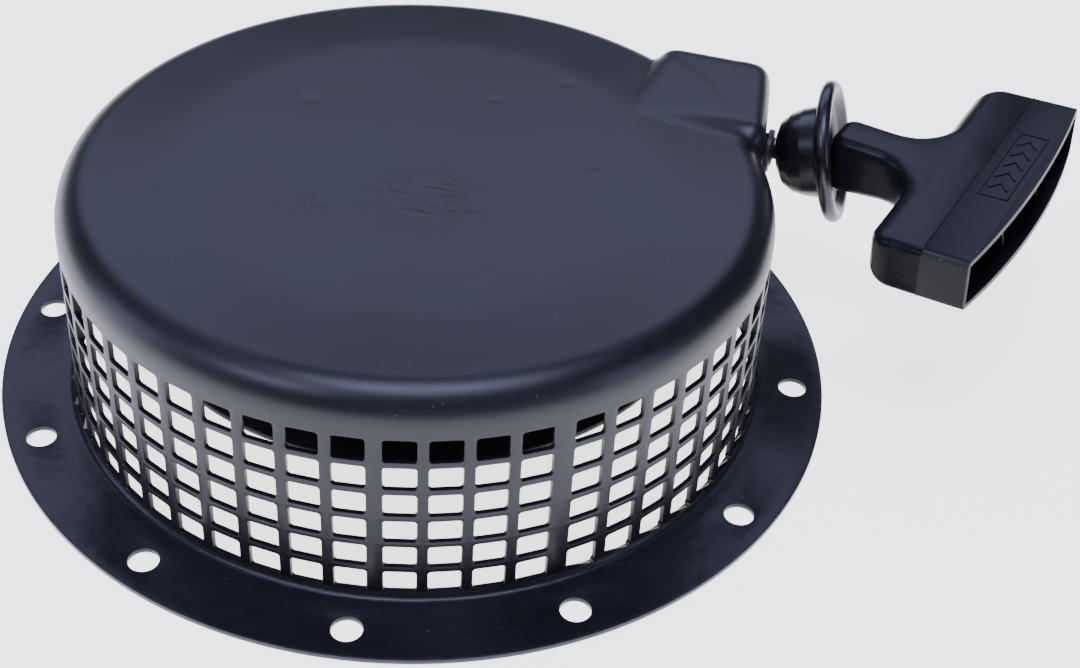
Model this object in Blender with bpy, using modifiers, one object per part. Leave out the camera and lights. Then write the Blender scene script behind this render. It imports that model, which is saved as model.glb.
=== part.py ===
"""Recoil starter for a small engine, in metres, +Z up.

The engine side is the open underside at z = 0. The rope leaves the cover along +X.
The drum's own axis stands at x = DRUM_X, so that the origin lies under the middle of the whole object.
"""

import math

import bmesh
import bpy
from mathutils import Matrix, Vector

MM = 0.001
GAP = 0.3 * MM

# Where things stand
DRUM_X = -32 * MM
ROPE_Y = 79.5 * MM
ROPE_Z = 52.7 * MM

# Cover: one deep pressing with a perforated wall and a bolting flange
SHEET = 1.5 * MM
FLANGE_R = 135 * MM
BOLT_CIRCLE_R = 125 * MM
BOLT_HOLE_R = 4.6 * MM
BOLT_COUNT = 12
BOLT_PHASE = 9
WALL_FOOT_R = 111.8 * MM
WALL_TOP_R = 110.8 * MM
FOOT_FILLET_R = 2 * MM
SHOULDER_R = 11 * MM
SHOULDER_Z = 75 * MM
CROWN_R = 74 * MM
CROWN_Z = 77.5 * MM
COVER_STEPS = 54

# Slots in the wall, one column to each facet of the turned cover
SLOT_COLUMNS = COVER_STEPS
SLOT_PHASE = -54.9
SLOT_ROWS = 6
SLOT_FIRST_Z = 7.6 * MM
SLOT_ROW_STEP = 9.8 * MM
SLOT_HEIGHT = 8 * MM
SLOT_WIDTH = 9.7 * MM

# Hood: the bulge through which the rope leaves
HOOD_ANGLES = (24, 68)
HOOD_INNER_X = 50 * MM
HOOD_END_X = 96.5 * MM
HOOD_END_SKEW = 4.6 * MM
HOOD_TOP_Z = 76 * MM
HOOD_TOP_HALF = 18 * MM
HOOD_BELT_Z = 47 * MM
HOOD_BELT_HALF = 23 * MM
HOOD_UNDER_Z = 36 * MM
HOOD_UNDER_IN = 17 * MM
FERRULE_HOLE_R = 6.3 * MM

# Reel, spindle and the ratchet under it
SPINDLE_R = 8 * MM
REEL_R = 89.5 * MM
REEL_CORE_R = 75.6 * MM
REEL_SKIRT_R = 72 * MM
REEL_WALL_R = 62 * MM
SPRING_CHAMBER_R = 56.5 * MM
REEL_HUB_R = 16 * MM
REEL_BORE_R = 10.5 * MM
SCREW_RADIUS = 59.2 * MM
PAWL_PIN_RADIUS = 34 * MM
PAWL_ANGLES = (20, 200)
PAWL_PEG_FORWARD = 15 * MM
LAG_ANGLE = 30
PAWL_RATIO = -1.2
PEG_SLOT_STEPS = 15

# Rope
ROPE_R = 2.4 * MM
ROPE_TURNS = 3
ROPE_TURN_RISE = 5 * MM
ROPE_LEAVES_ANGLE = 86
ROPE_ANCHOR_ANGLE = ROPE_LEAVES_ANGLE + 4.5

# Rubber bumper and T handle
PIVOT = Vector((DRUM_X + 120.2 * MM, ROPE_Y, 57 * MM))
BUMPER_TILT = 14
HANDLE_YAW = -16.6
HANDLE_PITCH = 4.5
HANDLE_ROLL = 2
BAR_LENGTH = 104.5 * MM
BAR_HEIGHT = 18 * MM
BAR_REAR = 36 * MM
BAR_FRONT = 66.3 * MM
BAR_BOW = 5 * MM
NECK_WIDTH = 17 * MM
NECK_START = 1.2 * MM
HANDLE_WALL = 2.4 * MM

MATERIALS = {
    "painted_steel": ((0.012, 0.012, 0.016, 1), 0.0, 0.34),
    "zinc_steel": ((0.56, 0.55, 0.52, 1), 1.0, 0.34),
    "spring_steel": ((0.16, 0.17, 0.2, 1), 1.0, 0.3),
    "bronze": ((0.5, 0.31, 0.13, 1), 1.0, 0.38),
    "reel_plastic": ((0.02, 0.02, 0.022, 1), 0.0, 0.5),
    "rope_black": ((0.015, 0.015, 0.016, 1), 0.0, 0.85),
    "rubber": ((0.016, 0.016, 0.019, 1), 0.0, 0.42),
    "handle_plastic": ((0.012, 0.012, 0.014, 1), 0.0, 0.3),
}


def clear_scene():
    for obj in list(bpy.data.objects):
        bpy.data.objects.remove(obj, do_unlink=True)


def collection(name):
    made = bpy.data.collections.new(name)
    bpy.context.scene.collection.children.link(made)
    return made


def material(kind, node):
    color, metallic, roughness = MATERIALS[kind]
    made = bpy.data.materials.new(kind + "_" + node)
    made.use_nodes = True
    shader = made.node_tree.nodes["Principled BSDF"]
    shader.inputs["Base Color"].default_value = color
    shader.inputs["Metallic"].default_value = metallic
    shader.inputs["Roughness"].default_value = roughness
    return made


clear_scene()
PARTS = collection("recoil_starter")
CUTTERS = collection("cutters")


def add(name, mesh, kind, place=None):
    obj = bpy.data.objects.new(name, mesh)
    PARTS.objects.link(obj)
    obj.data.materials.append(material(kind, name))
    if place is not None:
        obj.matrix_world = place
    return obj


def add_cutter(name, mesh, place=None):
    obj = bpy.data.objects.new(name, mesh)
    CUTTERS.objects.link(obj)
    obj.hide_render = True
    obj.display_type = "WIRE"
    if place is not None:
        obj.matrix_world = place
    return obj


def to_mesh(bm, name):
    mesh = bpy.data.meshes.new(name)
    bm.to_mesh(mesh)
    bm.free()
    return mesh


def box_mesh(low, high):
    bm = bmesh.new()
    size = [high[i] - low[i] for i in range(3)]
    middle = [(high[i] + low[i]) / 2 for i in range(3)]
    bmesh.ops.create_cube(bm, size=1, matrix=Matrix.Translation(middle) @ Matrix.Diagonal((*size, 1)))
    return to_mesh(bm, "box")


def rod_mesh(radius, low, high, segments=32, top_radius=None):
    bm = bmesh.new()
    bmesh.ops.create_cone(
        bm,
        cap_ends=True,
        segments=segments,
        radius1=radius,
        radius2=radius if top_radius is None else top_radius,
        depth=high - low,
        matrix=Matrix.Translation((0, 0, (low + high) / 2)),
    )
    return to_mesh(bm, "rod")


def profile_mesh(points, closed):
    """A profile of (radius, height) points in the XZ plane, ready for a Screw modifier."""
    bm = bmesh.new()
    verts = [bm.verts.new((radius, 0, height)) for radius, height in points]
    for first, second in zip(verts, verts[1:]):
        bm.edges.new((first, second))
    if closed:
        bm.edges.new((verts[-1], verts[0]))
    return to_mesh(bm, "profile")


def turn(obj, steps):
    screw = obj.modifiers.new("turn", "SCREW")
    screw.axis = "Z"
    screw.angle = math.tau
    screw.steps = steps
    screw.render_steps = steps
    screw.use_merge_vertices = True
    screw.merge_threshold = 0.00001


def boolean(obj, cutter, operation="DIFFERENCE"):
    change = obj.modifiers.new(cutter.name, "BOOLEAN")
    change.object = cutter
    change.operation = operation
    change.solver = "EXACT"


def bevel(obj, width, segments=2, angle=30):
    edge = obj.modifiers.new("edge", "BEVEL")
    edge.width = width
    edge.segments = segments
    edge.limit_method = "ANGLE"
    edge.angle_limit = math.radians(angle)


def arc(centre, radius, start, stop, count):
    """Points on an arc in a plane, from angle start to stop in degrees, both ends included."""
    angles = [math.radians(start + (stop - start) * i / (count - 1)) for i in range(count)]
    return [(centre[0] + radius * math.cos(a), centre[1] + radius * math.sin(a)) for a in angles]


def freeze(obj):
    """The evaluated shape of obj as a new mesh, with doubled points joined."""
    bpy.context.view_layer.update()
    evaluated = obj.evaluated_get(bpy.context.evaluated_depsgraph_get())
    mesh = bpy.data.meshes.new_from_object(evaluated)
    bm = bmesh.new()
    bm.from_mesh(mesh)
    bmesh.ops.remove_doubles(bm, verts=bm.verts, dist=0.00002)
    bm.to_mesh(mesh)
    bm.free()
    return mesh


def plate_mesh(outline, low, high):
    """A flat outline with thickness from low to high, made as a filled curve."""
    curve = bpy.data.curves.new("outline", "CURVE")
    curve.dimensions = "2D"
    curve.fill_mode = "BOTH"
    curve.extrude = (high - low) / 2
    spline = curve.splines.new("POLY")
    spline.points.add(len(outline) - 1)
    for point, (x, y) in zip(spline.points, outline):
        point.co = (x, y, 0, 1)
    spline.use_cyclic_u = True
    guide = bpy.data.objects.new("outline", curve)
    bpy.context.scene.collection.objects.link(guide)
    mesh = freeze(guide)
    mesh.transform(Matrix.Translation((0, 0, (low + high) / 2)))
    bpy.data.objects.remove(guide)
    return mesh


def wire_mesh(points, radius, resolution=2):
    """A round wire or rope along points, with closed ends."""
    curve = bpy.data.curves.new("wire", "CURVE")
    curve.dimensions = "3D"
    curve.bevel_depth = radius
    curve.bevel_resolution = resolution
    curve.use_fill_caps = True
    spline = curve.splines.new("POLY")
    spline.points.add(len(points) - 1)
    for point, place in zip(spline.points, points):
        point.co = (*place, 1)
    guide = bpy.data.objects.new("wire", curve)
    bpy.context.scene.collection.objects.link(guide)
    mesh = freeze(guide)
    bpy.data.objects.remove(guide)
    return mesh


def on_drum(angle=0, radius=0.0, height=0.0):
    """A place beside the drum's axis, turned by angle in degrees and moved out by radius."""
    turned = Matrix.Rotation(math.radians(angle), 4, "Z")
    return Matrix.Translation((DRUM_X, 0, height)) @ turned @ Matrix.Translation((radius, 0, 0))


def turned_part(name, points, kind, steps=48, place=None, closed=True):
    obj = add(name, profile_mesh(points, closed), kind, place or on_drum())
    turn(obj, steps)
    return obj


# Cover


def cover_surface(inset):
    """Profile of the cover's outside, or of its inside when inset is the sheet's thickness."""
    shoulder = (WALL_TOP_R - SHOULDER_R, SHOULDER_Z - SHOULDER_R)
    points = [(0, CROWN_Z - inset), (CROWN_R, CROWN_Z - inset)]
    points += arc(shoulder, SHOULDER_R - inset, 84, 0, 5)
    return points


def turned_cover(name, inset):
    """The drum as a solid of revolution. The inner one is taken away from the outer one."""
    points = cover_surface(inset)
    foot_r = WALL_FOOT_R - inset
    if inset:
        points += [(foot_r, SHEET), (foot_r + SHEET, -SHEET), (0, -SHEET)]
    else:
        fillet = (foot_r + FOOT_FILLET_R, SHEET + FOOT_FILLET_R)
        points += arc(fillet, FOOT_FILLET_R, 180, 270, 3)
        points += [(FLANGE_R, SHEET), (FLANGE_R, 0), (0, 0)]
    facet_edge = SLOT_PHASE + 180 / SLOT_COLUMNS
    obj = add_cutter(name, profile_mesh(points, False), on_drum(facet_edge))
    turn(obj, COVER_STEPS)
    return obj


def hood(name, inset):
    """The rope hood as a drafted block with its edges rounded."""
    bm = bmesh.new()
    bmesh.ops.create_cube(bm, size=1)
    bmesh.ops.bisect_plane(
        bm, geom=bm.verts[:] + bm.edges[:] + bm.faces[:], plane_co=(0, 0, 0), plane_no=(0, 0, 1)
    )
    for vert in bm.verts:
        outer = vert.co.x > 0
        side = 1 if vert.co.y > 0 else -1
        level = round(vert.co.z * 2)
        half = HOOD_TOP_HALF if level == 1 else HOOD_BELT_HALF
        y = ROPE_Y + side * (half - inset)
        end = HOOD_END_X - side * HOOD_END_SKEW - inset
        if level == -1:
            end -= HOOD_UNDER_IN
        z = (HOOD_UNDER_Z + inset, HOOD_BELT_Z, HOOD_TOP_Z - inset)[level + 1]
        vert.co = (end if outer else HOOD_INNER_X, y, z)
    obj = add_cutter(name, to_mesh(bm, name), Matrix.Translation((DRUM_X, 0, 0)))
    bevel(obj, 6 * MM - inset, segments=2, angle=20)
    return obj


def slot_cutters():
    """Every slot of the wall as one radial block, all in one cutter."""
    bm = bmesh.new()
    for column in range(SLOT_COLUMNS):
        angle = SLOT_PHASE + column * 360 / SLOT_COLUMNS
        turned = Matrix.Rotation(math.radians(angle), 4, "Z")
        for row in range(SLOT_ROWS):
            if row > 2 and HOOD_ANGLES[0] < angle < HOOD_ANGLES[1]:
                continue
            height = SLOT_FIRST_Z + row * SLOT_ROW_STEP
            place = turned @ Matrix.Translation((WALL_TOP_R, 0, height))
            size = Matrix.Diagonal((9 * MM, SLOT_WIDTH, SLOT_HEIGHT, 1))
            bmesh.ops.create_cube(bm, size=1, matrix=place @ size)
    return add_cutter("slots", to_mesh(bm, "slots"), on_drum())


def bolt_hole_cutters():
    bm = bmesh.new()
    for i in range(BOLT_COUNT):
        turned = Matrix.Rotation(math.radians(BOLT_PHASE + i * 360 / BOLT_COUNT), 4, "Z")
        bmesh.ops.create_cone(
            bm,
            cap_ends=True,
            segments=12,
            radius1=BOLT_HOLE_R,
            radius2=BOLT_HOLE_R,
            depth=6 * MM,
            matrix=turned @ Matrix.Translation((BOLT_CIRCLE_R, 0, 0)),
        )
    return add_cutter("bolt_holes", to_mesh(bm, "bolt_holes"), on_drum())


def along_x(x):
    """A place on the rope's line that turns a shape made along +Z to lie along +X."""
    return Matrix.Translation((DRUM_X + x, ROPE_Y, ROPE_Z)) @ Matrix.Rotation(math.pi / 2, 4, "Y")


def make_cover():
    outer = turned_cover("cover_outer", 0)
    boolean(outer, hood("hood_outer", 0), "UNION")
    inner = turned_cover("cover_inner", SHEET)
    boolean(inner, hood("hood_inner", SHEET), "UNION")
    shell = add_cutter("cover_shell", freeze(outer), outer.matrix_world.copy())
    hollow = add_cutter("cover_hollow", freeze(inner), inner.matrix_world.copy())
    boolean(shell, hollow)
    cover = add("cover", freeze(shell), "painted_steel", shell.matrix_world.copy())
    rope_hole = add_cutter("rope_hole", rod_mesh(FERRULE_HOLE_R, 80 * MM, 110 * MM, 24), along_x(0))
    for cutter in (slot_cutters(), bolt_hole_cutters(), rope_hole):
        boolean(cover, cutter)


def make_rope_ferrule():
    """Black moulded eyelet in the hood's end, with a collar outside and a rounded mouth."""
    bore, body, collar = 3.1 * MM, 6 * MM, 7.6 * MM
    points = [
        (bore, 100.6 * MM),
        (4.2 * MM, 100.6 * MM),
        (4.9 * MM, 100 * MM),
        (4.9 * MM, 99.8 * MM),
        (collar, 99.6 * MM),
        (collar, 98.9 * MM),
        (body, 98.7 * MM),
        (body, 90 * MM),
        (4.6 * MM, 89 * MM),
        (bore, 90 * MM),
    ]
    turned_part("rope_ferrule", points, "reel_plastic", 28, along_x(0))


# Spindle and spring


def make_spindle():
    plate = [(34, 75.6), (34, 74), (30, 73.7), (5.4, 73.7), (5.4, 75.6)]
    turned_part("spindle_plate", [(r * MM, z * MM) for r, z in plate], "zinc_steel", 36)
    rod_r = SPINDLE_R / MM
    rod = [(0, 75.6), (5, 75.6), (5, 73.4), (rod_r, 73.4), (rod_r, 41.9), (2.8, 41.9), (2.8, 56), (0, 57.6)]
    turned_part("spindle", [(r * MM, z * MM) for r, z in rod], "zinc_steel", 28, closed=False)


def make_recoil_spring():
    """Flat spiral strip. Its inner end hooks on the spindle and its outer end on the reel."""
    turns, steps, half = 6, 22, 0.45 * MM
    inner, outer = 13 * MM, 52 * MM
    line = []
    for i in range(turns * steps + 1):
        share = i / (turns * steps)
        angle = math.tau * turns * share
        radius = inner + (outer - inner) * share
        line.append((radius, angle))
    edge = [((r + half) * math.cos(a), (r + half) * math.sin(a)) for r, a in line]
    edge += [((r - half) * math.cos(a), (r - half) * math.sin(a)) for r, a in reversed(line)]
    add("recoil_spring", plate_mesh(edge, 60.2 * MM, 71.2 * MM), "spring_steel", on_drum())


# Reel and rope


def make_reel():
    points = [
        (REEL_WALL_R, 72.2 * MM),
        (REEL_WALL_R, 62 * MM),
        (REEL_R, 61.5 * MM),
        (REEL_R, 59.5 * MM),
        (REEL_CORE_R, 57.6 * MM),
        (REEL_CORE_R, 34.6 * MM),
        (REEL_R, 33 * MM),
        (REEL_R, 31 * MM),
        (REEL_SKIRT_R, 31 * MM),
        (REEL_SKIRT_R, 50 * MM),
        (REEL_HUB_R, 50 * MM),
        (REEL_HUB_R, 47 * MM),
        (REEL_BORE_R, 47 * MM),
        (REEL_BORE_R, 59.6 * MM),
        (SPRING_CHAMBER_R, 59.6 * MM),
        (SPRING_CHAMBER_R, 72.2 * MM),
    ]
    reel = turned_part("reel", points, "reel_plastic", 48)
    place = on_drum(ROPE_ANCHOR_ANGLE, 0, ROPE_Z - ROPE_TURNS * ROPE_TURN_RISE)
    bore = rod_mesh(4.6 * MM, 69 * MM, 80 * MM, 14)
    bore.transform(Matrix.Rotation(math.pi / 2, 4, "Y"))
    boolean(reel, add_cutter("anchor_hole", bore, place))
    boolean(reel, screw_hole_cutter("reel_screw_holes", 1.6 * MM, 67.4 * MM, 76 * MM))


def screw_places():
    return [on_drum(60 + i * 120, SCREW_RADIUS) for i in range(3)]


def screw_hole_cutter(name, radius, low, high):
    """Holes for the three spring cover screws, in one cutter."""
    bm = bmesh.new()
    middle = Matrix.Translation((0, 0, (low + high) / 2))
    for place in screw_places():
        bmesh.ops.create_cone(
            bm,
            cap_ends=True,
            segments=10,
            radius1=radius,
            radius2=radius,
            depth=high - low,
            matrix=place @ middle,
        )
    return add_cutter(name, to_mesh(bm, name))


def make_reel_bush():
    points = [(10.2, 59.3), (10.2, 47.3), (8.3, 47.3), (8.3, 59.3)]
    turned_part("reel_bush", [(r * MM, z * MM) for r, z in points], "bronze", 28)


def make_spring_cover():
    points = [(63, 73.3), (63, 72.5), (12, 72.5), (12, 73.3)]
    cover = turned_part("spring_cover", [(r * MM, z * MM) for r, z in points], "zinc_steel", 36)
    boolean(cover, screw_hole_cutter("cover_screw_holes", 1.7 * MM, 71 * MM, 75 * MM))
    screw = [(0, 75), (2.2, 75), (2.9, 74.2), (2.9, 73.6), (1.3, 73.6), (1.3, 67.8), (0, 67.8)]
    for number, place in zip("123", screw_places()):
        points = [(r * MM, z * MM) for r, z in screw]
        turned_part("spring_cover_screw_" + number, points, "zinc_steel", 10, place, False)


def make_rope_coil():
    """Rope wound on the reel, from the turn that leaves along the tangent down to its anchor hole."""
    steps = 20
    count = int(ROPE_TURNS * steps)
    points = []
    for i in range(count + 1):
        share = i / steps
        angle = math.radians(ROPE_LEAVES_ANGLE) + math.tau * share
        points.append((
            ROPE_Y * math.cos(angle),
            ROPE_Y * math.sin(angle),
            ROPE_Z - ROPE_TURN_RISE * share,
        ))
    foot = ROPE_Z - ROPE_TURN_RISE * ROPE_TURNS
    for radius, ahead in ((77.5 * MM, 2.6), (74 * MM, 4), (69.6 * MM, 4.5)):
        angle = math.radians(ROPE_LEAVES_ANGLE + ahead)
        points.append((radius * math.cos(angle), radius * math.sin(angle), foot))
    add("rope_coil", wire_mesh(points, ROPE_R), "rope_black", on_drum())
    bm = bmesh.new()
    bmesh.ops.create_uvsphere(bm, u_segments=14, v_segments=8, radius=4.6 * MM)
    place = on_drum(ROPE_ANCHOR_ANGLE, 64.4 * MM, foot)
    add("rope_anchor_knot", to_mesh(bm, "rope_anchor_knot"), "rope_black", place)


def make_rope_run():
    """Rope from the reel's tangent through the ferrule and the bumper."""
    start = (DRUM_X + 8 * MM, ROPE_Y, ROPE_Z)
    exit_point = (DRUM_X + 98 * MM, ROPE_Y, ROPE_Z)
    tilt = math.radians(BUMPER_TILT)
    along = Vector((math.cos(tilt), 0, math.sin(tilt)))
    bend = PIVOT - along * 18 * MM
    end = PIVOT - along * 1.6 * MM
    points = [start]
    points += [tuple(Vector(start).lerp(Vector(exit_point), i / 6)) for i in range(1, 7)]
    points += [bend]
    points += [tuple(Vector(bend).lerp(end, i / 2)) for i in range(1, 3)]
    add("rope_run", wire_mesh(points, ROPE_R), "rope_black")


# Ratchet


def peg_in_reel(lag):
    """Where a pawl's peg stands beside its pin once the plate lags the reel by lag degrees."""
    swing = math.radians(PAWL_RATIO * lag)
    start = Vector((0, PAWL_PEG_FORWARD, 0))
    return Matrix.Rotation(swing, 4, "Z") @ start


def make_pawl(number, angle):
    outline = arc((0, 0), 5.5 * MM, 180, 360, 9)
    outline += [(5.5 * MM, 12 * MM), (7.5 * MM, 21 * MM), (4.5 * MM, 24 * MM)]
    outline += [(-1 * MM, 22.5 * MM), (-5 * MM, 14 * MM)]
    place = on_drum(angle, PAWL_PIN_RADIUS)
    pawl = add("pawl_" + number, plate_mesh(outline, 43.5 * MM, 48.6 * MM), "zinc_steel", place)
    hole = add_cutter("pawl_hole_" + number, rod_mesh(2.8 * MM, 40 * MM, 52 * MM, 14), place)
    peg_place = place @ Matrix.Translation((0, PAWL_PEG_FORWARD, 0))
    peg = add_cutter("pawl_peg_" + number, rod_mesh(1.6 * MM, 38.6 * MM, 46.3 * MM, 10), peg_place)
    boolean(pawl, hole)
    boolean(pawl, peg, "UNION")
    pin = [(0, 49.7), (2.5, 49.7), (2.5, 43.2), (4.2, 43.2), (4.2, 42), (0, 42)]
    turned_part("pawl_pin_" + number, [(r * MM, z * MM) for r, z in pin], "zinc_steel", 16, place, False)


def make_pawl_spring(number, angle):
    """Hair spring round the pin's head, with one leg resting on the reel's side of the pawl."""
    level = 42.6 * MM
    points = [(x, y, level) for x, y in arc((0, 0), 5.2 * MM, -70, 200, 12)]
    points += [(-8 * MM, 5 * MM, level), (-10.5 * MM, 9 * MM, level)]
    place = on_drum(angle, PAWL_PIN_RADIUS)
    add("pawl_spring_" + number, wire_mesh(points, 0.35 * MM, 1), "spring_steel", place)


def make_friction_plate():
    """Two-armed plate held back by friction. A slot in each arm leads a pawl's peg outwards."""
    outline = []
    for angle in PAWL_ANGLES:
        middle = angle + 27
        outline += arc((0, 0), 46 * MM, middle - 17, middle + 20, 6)
        outline += arc((0, 0), 14 * MM, middle + 50, middle + 128, 6)
    plate = add("friction_plate", plate_mesh(outline, 39.2 * MM, 41.4 * MM), "zinc_steel", on_drum())
    bore = add_cutter("friction_bore", rod_mesh(6.6 * MM, 30 * MM, 45 * MM, 28), on_drum())
    boolean(plate, bore)
    bm = bmesh.new()
    for angle in PAWL_ANGLES:
        for i in range(PEG_SLOT_STEPS + 1):
            lag = LAG_ANGLE * i / PEG_SLOT_STEPS
            peg = Matrix.Translation((PAWL_PIN_RADIUS, 0, 0)) @ peg_in_reel(lag)
            seen = Matrix.Rotation(math.radians(angle - lag), 4, "Z") @ peg
            bmesh.ops.create_cone(
                bm,
                cap_ends=True,
                segments=12,
                radius1=2.1 * MM,
                radius2=2.1 * MM,
                depth=8 * MM,
                matrix=Matrix.Translation((seen.x, seen.y, 40 * MM)),
            )
    slots = add_cutter("peg_slots", to_mesh(bm, "peg_slots"), on_drum())
    change = plate.modifiers.new("peg_slots", "BOOLEAN")
    change.object = slots
    change.solver = "EXACT"
    change.use_self = True


def make_friction_stack():
    """Spring, washer and screw that press the friction plate against its seat."""
    turns, steps = 2.5, 14
    coil_r, foot, rise = 9.4 * MM, 33.9 * MM, 4.2 * MM
    count = int(turns * steps)
    points = []
    for i in range(count + 1):
        angle = math.tau * i / steps
        points.append((coil_r * math.cos(angle), coil_r * math.sin(angle), foot + rise * i / count))
    add("friction_spring", wire_mesh(points, 0.55 * MM, 1), "spring_steel", on_drum())
    washer = [(12, 33), (12, 31.4), (2.9, 31.4), (2.9, 33)]
    turned_part("screw_washer", [(r * MM, z * MM) for r, z in washer], "zinc_steel", 28)
    collar = [(6.2, 41.6), (6.2, 33.3), (2.9, 33.3), (2.9, 41.6)]
    turned_part("spacer_sleeve", [(r * MM, z * MM) for r, z in collar], "zinc_steel", 20)
    screw = add("centre_screw", rod_mesh(6.4 * MM, 26.4 * MM, 31.1 * MM, 6), "zinc_steel", on_drum())
    shank = add_cutter("screw_shank", rod_mesh(2.5 * MM, 28 * MM, 55 * MM, 20), on_drum())
    boolean(screw, shank, "UNION")


# Bumper and handle


def handle_place():
    turned = Matrix.Rotation(math.radians(HANDLE_YAW), 4, "Z")
    raised = Matrix.Rotation(math.radians(-HANDLE_PITCH), 4, "Y")
    rolled = Matrix.Rotation(math.radians(HANDLE_ROLL), 4, "X")
    return Matrix.Translation(PIVOT) @ turned @ raised @ rolled


def make_bumper():
    """Rubber bumper: a bulb with a dished disc, threaded on the rope. Heights run along the rope."""
    profile = [
        (3.2, -18.3),
        (6.5, -18.3),
        (10.8, -16.6),
        (13, -14),
        (14.6, -9),
        (15.6, -3.5),
        (16.4, -2.4),
        (22.4, -2.2),
        (23.9, -0.6),
        (23.9, 1.4),
        (22.8, 2.6),
        (20.5, 2.6),
        (17.5, -0.2),
        (14.4, -1.4),
        (13, -4.8),
        (3.2, -4.8),
    ]
    points = [(r * MM, z * MM) for r, z in reversed(profile)]
    axis = Matrix.Rotation(math.radians(90 - BUMPER_TILT), 4, "Y")
    turned_part("bumper", points, "rubber", 30, Matrix.Translation(PIVOT) @ axis)


def handle_outline():
    """Plan of the T, with the neck along +X from the pivot and the bar across its end."""
    neck = NECK_WIDTH / 2
    half = BAR_LENGTH / 2
    fillet, corner = 14 * MM, 8 * MM
    right = arc((BAR_REAR - fillet, neck + fillet), fillet, 270, 360, 6)
    right += arc((BAR_REAR + corner, half - corner), corner, 180, 90, 5)
    bow_r = (half * half + BAR_BOW * BAR_BOW) / (2 * BAR_BOW)
    spread = math.degrees(math.asin(half / bow_r))
    front = arc((BAR_FRONT + BAR_BOW - bow_r, 0), bow_r, spread, -spread, 13)
    left = [(x, -y) for x, y in reversed(right)]
    nose = arc((NECK_START + 3 * MM, -neck + 3 * MM), 3 * MM, 270, 180, 3)
    nose += arc((NECK_START + 3 * MM, neck - 3 * MM), 3 * MM, 180, 90, 3)
    return nose + right + front + left


def make_handle():
    place = handle_place()
    block = plate_mesh(handle_outline(), -BAR_HEIGHT / 2, BAR_HEIGHT / 2)
    handle = add("handle", block, "handle_plastic", place)
    bevel(handle, 1.6 * MM, 2, 50)
    low, high = -BAR_HEIGHT / 2 + HANDLE_WALL, BAR_HEIGHT / 2 - HANDLE_WALL
    inside = BAR_LENGTH / 2 - HANDLE_WALL
    rib = 15 * MM
    pockets = ((-inside, -rib - HANDLE_WALL), (-rib, rib), (rib + HANDLE_WALL, inside))
    for i, (left, right) in enumerate(pockets):
        block = box_mesh((BAR_REAR + 3.2 * MM, left, low), (BAR_FRONT + 20 * MM, right, high))
        boolean(handle, add_cutter("pocket_" + str(i), block, place))
    bore = rod_mesh(3 * MM, -12 * MM, BAR_REAR + 8 * MM, 20)
    bore.transform(Matrix.Rotation(math.pi / 2, 4, "Y"))
    boolean(handle, add_cutter("handle_bore", bore, place))


def make_handle_rope():
    place = handle_place()
    line = [(x * MM, 0, 0) for x in (1.5, 12, 24, 36, 44)]
    add("handle_rope", wire_mesh(line, ROPE_R), "rope_black", place)
    washer = [(2.9, 43.4), (5.9, 43.4), (5.9, 42), (2.9, 42)]
    points = [(r * MM, z * MM) for r, z in washer]
    turned_part("handle_washer", points, "zinc_steel", 24, place @ Matrix.Rotation(math.pi / 2, 4, "Y"))
    bm = bmesh.new()
    bmesh.ops.create_uvsphere(bm, u_segments=16, v_segments=10, radius=5.8 * MM)
    bmesh.ops.scale(bm, verts=bm.verts, vec=(0.85, 1, 1))
    knot_place = place @ Matrix.Translation((49.4 * MM, 0, 0))
    add("handle_knot", to_mesh(bm, "handle_knot"), "rope_black", knot_place)


make_cover()
make_rope_ferrule()
make_spindle()
make_recoil_spring()
make_reel()
make_reel_bush()
make_spring_cover()
make_rope_coil()
make_rope_run()
for number, angle in zip("12", PAWL_ANGLES):
    make_pawl(number, angle)
    make_pawl_spring(number, angle)
make_friction_plate()
make_friction_stack()
make_bumper()
make_handle()
make_handle_rope()
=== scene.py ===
import math

import bmesh
import bpy
from mathutils import Matrix, Vector
from mathutils.bvhtree import BVHTree


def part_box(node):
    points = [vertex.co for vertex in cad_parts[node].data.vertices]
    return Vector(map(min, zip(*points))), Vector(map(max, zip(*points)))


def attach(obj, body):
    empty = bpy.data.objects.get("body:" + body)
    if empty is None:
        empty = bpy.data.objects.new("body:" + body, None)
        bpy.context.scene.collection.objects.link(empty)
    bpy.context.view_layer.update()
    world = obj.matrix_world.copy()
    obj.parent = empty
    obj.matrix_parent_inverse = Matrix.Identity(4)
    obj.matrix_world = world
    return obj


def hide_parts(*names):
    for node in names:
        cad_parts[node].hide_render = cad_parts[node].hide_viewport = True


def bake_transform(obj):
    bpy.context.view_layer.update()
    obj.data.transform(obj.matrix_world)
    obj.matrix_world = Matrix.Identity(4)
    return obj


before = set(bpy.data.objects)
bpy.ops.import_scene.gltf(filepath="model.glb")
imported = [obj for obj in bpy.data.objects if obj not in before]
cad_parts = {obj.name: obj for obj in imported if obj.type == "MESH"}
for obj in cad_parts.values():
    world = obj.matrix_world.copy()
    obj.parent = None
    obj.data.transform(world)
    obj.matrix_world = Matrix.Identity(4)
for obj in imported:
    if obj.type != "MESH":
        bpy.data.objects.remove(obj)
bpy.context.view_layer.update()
mm = 0.001

# ---------------------------------------------------------------------------
# Cover. One deep pressing in 1.5 mm steel: crown, rolled shoulder, wall with six rows of
# punched slots, and a bolting flange. The rope hood is drawn out of its shoulder, and the
# whole is dipped in satin black paint.
# ---------------------------------------------------------------------------

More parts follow.
